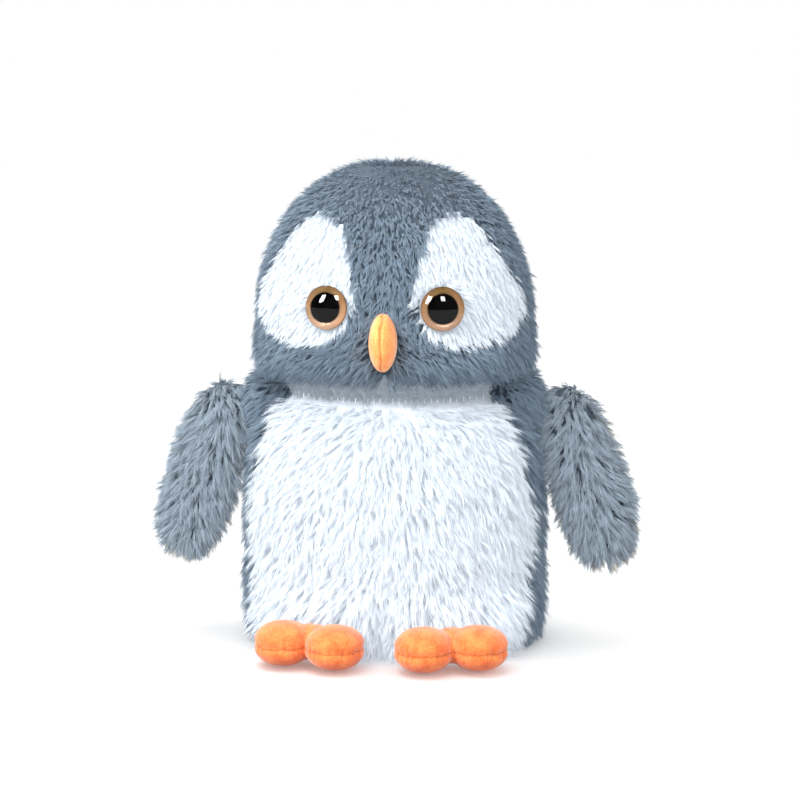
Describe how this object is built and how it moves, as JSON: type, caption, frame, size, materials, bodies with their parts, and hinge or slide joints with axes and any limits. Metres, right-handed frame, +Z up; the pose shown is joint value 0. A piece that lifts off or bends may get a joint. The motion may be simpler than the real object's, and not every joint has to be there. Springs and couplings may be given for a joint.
{
  "type": "plush penguin",
  "caption": "Soft long-pile penguin toy with a white front, glassy safety eyes, sewn beak, swinging flippers and toed feet, sitting upright over a weighted base.",
  "frame": {"origin": "on the floor, at the middle of the footprint", "axes": "+Z up, -Y the way the face looks, +X the penguin's own left"},
  "size_m": [0.3138, 0.184, 0.317],
  "materials": {
    "grey_fur": "long-pile faux fur",
    "white_fur": "long-pile faux fur",
    "orange_plush": "short-pile plush",
    "thread": "sewing thread",
    "cotton": "plain-woven cotton",
    "grain": "loose dry grain",
    "fibre": "polyester fibre filling",
    "clear_plastic": "polished",
    "bronze_film": "metallic print under the lens",
    "black_plastic": "gloss",
    "white_plastic": "moulded"
  },
  "bodies": {
    "torso": {"belly_panel": "white_fur", "chest_strip": "white_fur", "back_panel_left": "grey_fur", "back_panel_right": "grey_fur", "base_panel": "grey_fur", "slit_stitches": "thread", "torso_filling": "fibre", "pouch_bag": "cotton", "grain_filling": "grain"},
    "neck": {"neck_filling": "fibre"},
    "head": {"head_panel_left": "grey_fur", "head_panel_right": "grey_fur", "eye_patch_left": "white_fur", "eye_patch_right": "white_fur", "head_filling": "fibre", "beak_panel_left": "orange_plush", "beak_panel_right": "orange_plush", "beak_filling": "fibre", "eye_left_lens": "clear_plastic", "eye_left_iris": "bronze_film", "eye_left_pupil": "black_plastic", "eye_left_shank": "black_plastic", "eye_left_washer": "white_plastic", "eye_right_lens": "clear_plastic", "eye_right_iris": "bronze_film", "eye_right_pupil": "black_plastic", "eye_right_shank": "black_plastic", "eye_right_washer": "white_plastic"},
    "flipper_left": {"flipper_left_outer_cover": "grey_fur", "flipper_left_inner_cover": "white_fur", "flipper_left_filling": "fibre"},
    "flipper_right": {"flipper_right_outer_cover": "grey_fur", "flipper_right_inner_cover": "white_fur", "flipper_right_filling": "fibre"},
    "foot_left": {"foot_left_upper": "orange_plush", "foot_left_sole": "orange_plush", "foot_left_filling": "fibre"},
    "foot_right": {"foot_right_upper": "orange_plush", "foot_right_sole": "orange_plush", "foot_right_filling": "fibre"}
  },
  "joints": [
    {"name": "head_turn", "type": "hinge", "parent": "torso", "child": "neck", "pos_m": [0, 0.0195, 0.175], "axis": [0, 0, 1], "range_deg": [-25, 25], "stiffness_Nm_per_rad": 0.35},
    {"name": "head_nod", "type": "hinge", "parent": "neck", "child": "head", "pos_m": [0, 0.0195, 0.175], "axis": [1, 0, 0], "range_deg": [-5, 5], "stiffness_Nm_per_rad": 2.5},
    {"name": "flipper_left_swing", "type": "hinge", "parent": "torso", "child": "flipper_left", "pos_m": [0.1022, 0.014, 0.113], "axis": [-0.2924, 0, 0.9563], "range_deg": [-40, 35], "stiffness_Nm_per_rad": 0.03},
    {"name": "flipper_right_swing", "type": "hinge", "parent": "torso", "child": "flipper_right", "pos_m": [-0.1022, 0.014, 0.113], "axis": [-0.2924, 0, -0.9563], "range_deg": [-40, 35], "stiffness_Nm_per_rad": 0.03},
    {"name": "foot_left_flex", "type": "hinge", "parent": "torso", "child": "foot_left", "pos_m": [0.045, -0.052, 0.0145], "axis": [-1, 0, 0], "range_deg": [0, 18], "stiffness_Nm_per_rad": 0.06},
    {"name": "foot_right_flex", "type": "hinge", "parent": "torso", "child": "foot_right", "pos_m": [-0.045, -0.052, 0.0145], "axis": [-1, 0, 0], "range_deg": [0, 18], "stiffness_Nm_per_rad": 0.06}
  ]
}
